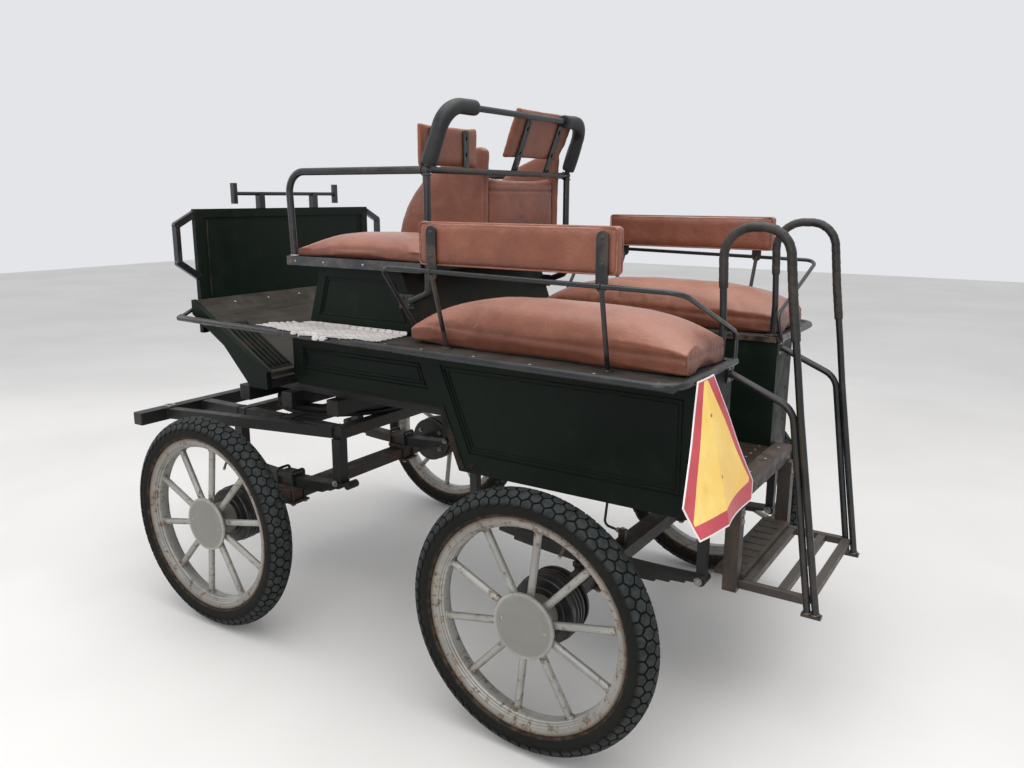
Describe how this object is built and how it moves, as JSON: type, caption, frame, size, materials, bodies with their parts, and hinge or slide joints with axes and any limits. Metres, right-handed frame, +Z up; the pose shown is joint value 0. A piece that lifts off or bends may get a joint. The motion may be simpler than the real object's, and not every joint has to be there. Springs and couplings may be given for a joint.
{
  "type": "horse drawn carriage",
  "caption": "Pony wagonette carriage with driver's bench, facing rear benches, turntable front gear, rear step and handrails on pneumatic wheels",
  "frame": {"origin": "on the ground at the middle of the carriage's box in plan", "axes": "+X forward towards the draught pole, +Y the carriage's left side, +Z up"},
  "size_m": [2.284, 1.362, 1.6355],
  "materials": {
    "body_paint": "semi gloss dark green-black paint, weathered",
    "rail_paint": "semi gloss black paint with chips",
    "chassis_paint": "satin black paint, dusty",
    "wheel_paint": "silver grey paint with rust spots",
    "tyre": "matt",
    "floor_wood": "worn brown boards",
    "toe_wood": "worn brown board",
    "deck_board": "satin dark paint",
    "seat_leather": "satin reddish brown",
    "foam": "matt black foam",
    "sign": "reflective red border, yellow middle",
    "mat": "open mesh, off white",
    "hose": "matt black",
    "steel": "worn grey steel"
  },
  "bodies": {
    "carriage_body": {"side_panels": "body_paint", "rear_floor": "floor_wood", "well_front_wall": "body_paint", "front_box": "body_paint", "bench_boxes": "body_paint", "deck_boards": "deck_board", "underframe": "chassis_paint", "turntable_upper_ring": "chassis_paint", "toe_board": "toe_wood", "toe_cheeks": "body_paint", "dashboard": "body_paint", "dash_handles": "rail_paint", "rein_rail": "rail_paint", "fender_rails": "rail_paint", "driver_seat_box": "body_paint", "driver_seat_board": "deck_board", "driver_seat_frame": "rail_paint", "hoop_foam": "foam", "driver_cushions": "seat_leather", "seat_wings": "seat_leather", "seat_back_cushion": "seat_leather", "upper_pad_straps": "steel", "upper_pads": "seat_leather", "bench_cushions": "seat_leather", "bench_backs": "seat_leather", "bench_rails": "rail_paint", "handrails": "rail_paint", "handrail_grips": "foam", "rear_step": "chassis_paint", "warning_sign": "sign", "grip_mat": "mat", "brake_pedal": "steel", "brake_hose": "hose", "rear_axle": "chassis_paint", "rear_springs": "chassis_paint"},
    "front_gear": {"front_gear_frame": "chassis_paint", "turntable_lower_ring": "chassis_paint", "kingpin": "steel", "front_axle": "chassis_paint", "front_springs": "chassis_paint"},
    "wheel_body_rear_left": {"wheel_rear_left": "wheel_paint", "tyre_rear_left": "tyre"},
    "wheel_body_rear_right": {"wheel_rear_right": "wheel_paint", "tyre_rear_right": "tyre"},
    "wheel_body_front_left": {"wheel_front_left": "wheel_paint", "tyre_front_left": "tyre"},
    "wheel_body_front_right": {"wheel_front_right": "wheel_paint", "tyre_front_right": "tyre"}
  },
  "joints": [
    {"name": "steering", "type": "hinge", "parent": "carriage_body", "child": "front_gear", "pos_m": [0.653, 0, 0.63], "axis": [0, 0, 1], "range_deg": [-90, 90]},
    {"name": "wheel_spin_rear_left", "type": "hinge", "parent": "carriage_body", "child": "wheel_body_rear_left", "pos_m": [-0.539, 0.637, 0.345], "axis": [0, 1, 0], "continuous": true},
    {"name": "wheel_spin_rear_right", "type": "hinge", "parent": "carriage_body", "child": "wheel_body_rear_right", "pos_m": [-0.539, -0.637, 0.345], "axis": [0, 1, 0], "continuous": true},
    {"name": "wheel_spin_front_left", "type": "hinge", "parent": "front_gear", "child": "wheel_body_front_left", "pos_m": [0.653, 0.637, 0.345], "axis": [0, 1, 0], "continuous": true},
    {"name": "wheel_spin_front_right", "type": "hinge", "parent": "front_gear", "child": "wheel_body_front_right", "pos_m": [0.653, -0.637, 0.345], "axis": [0, 1, 0], "continuous": true}
  ]
}
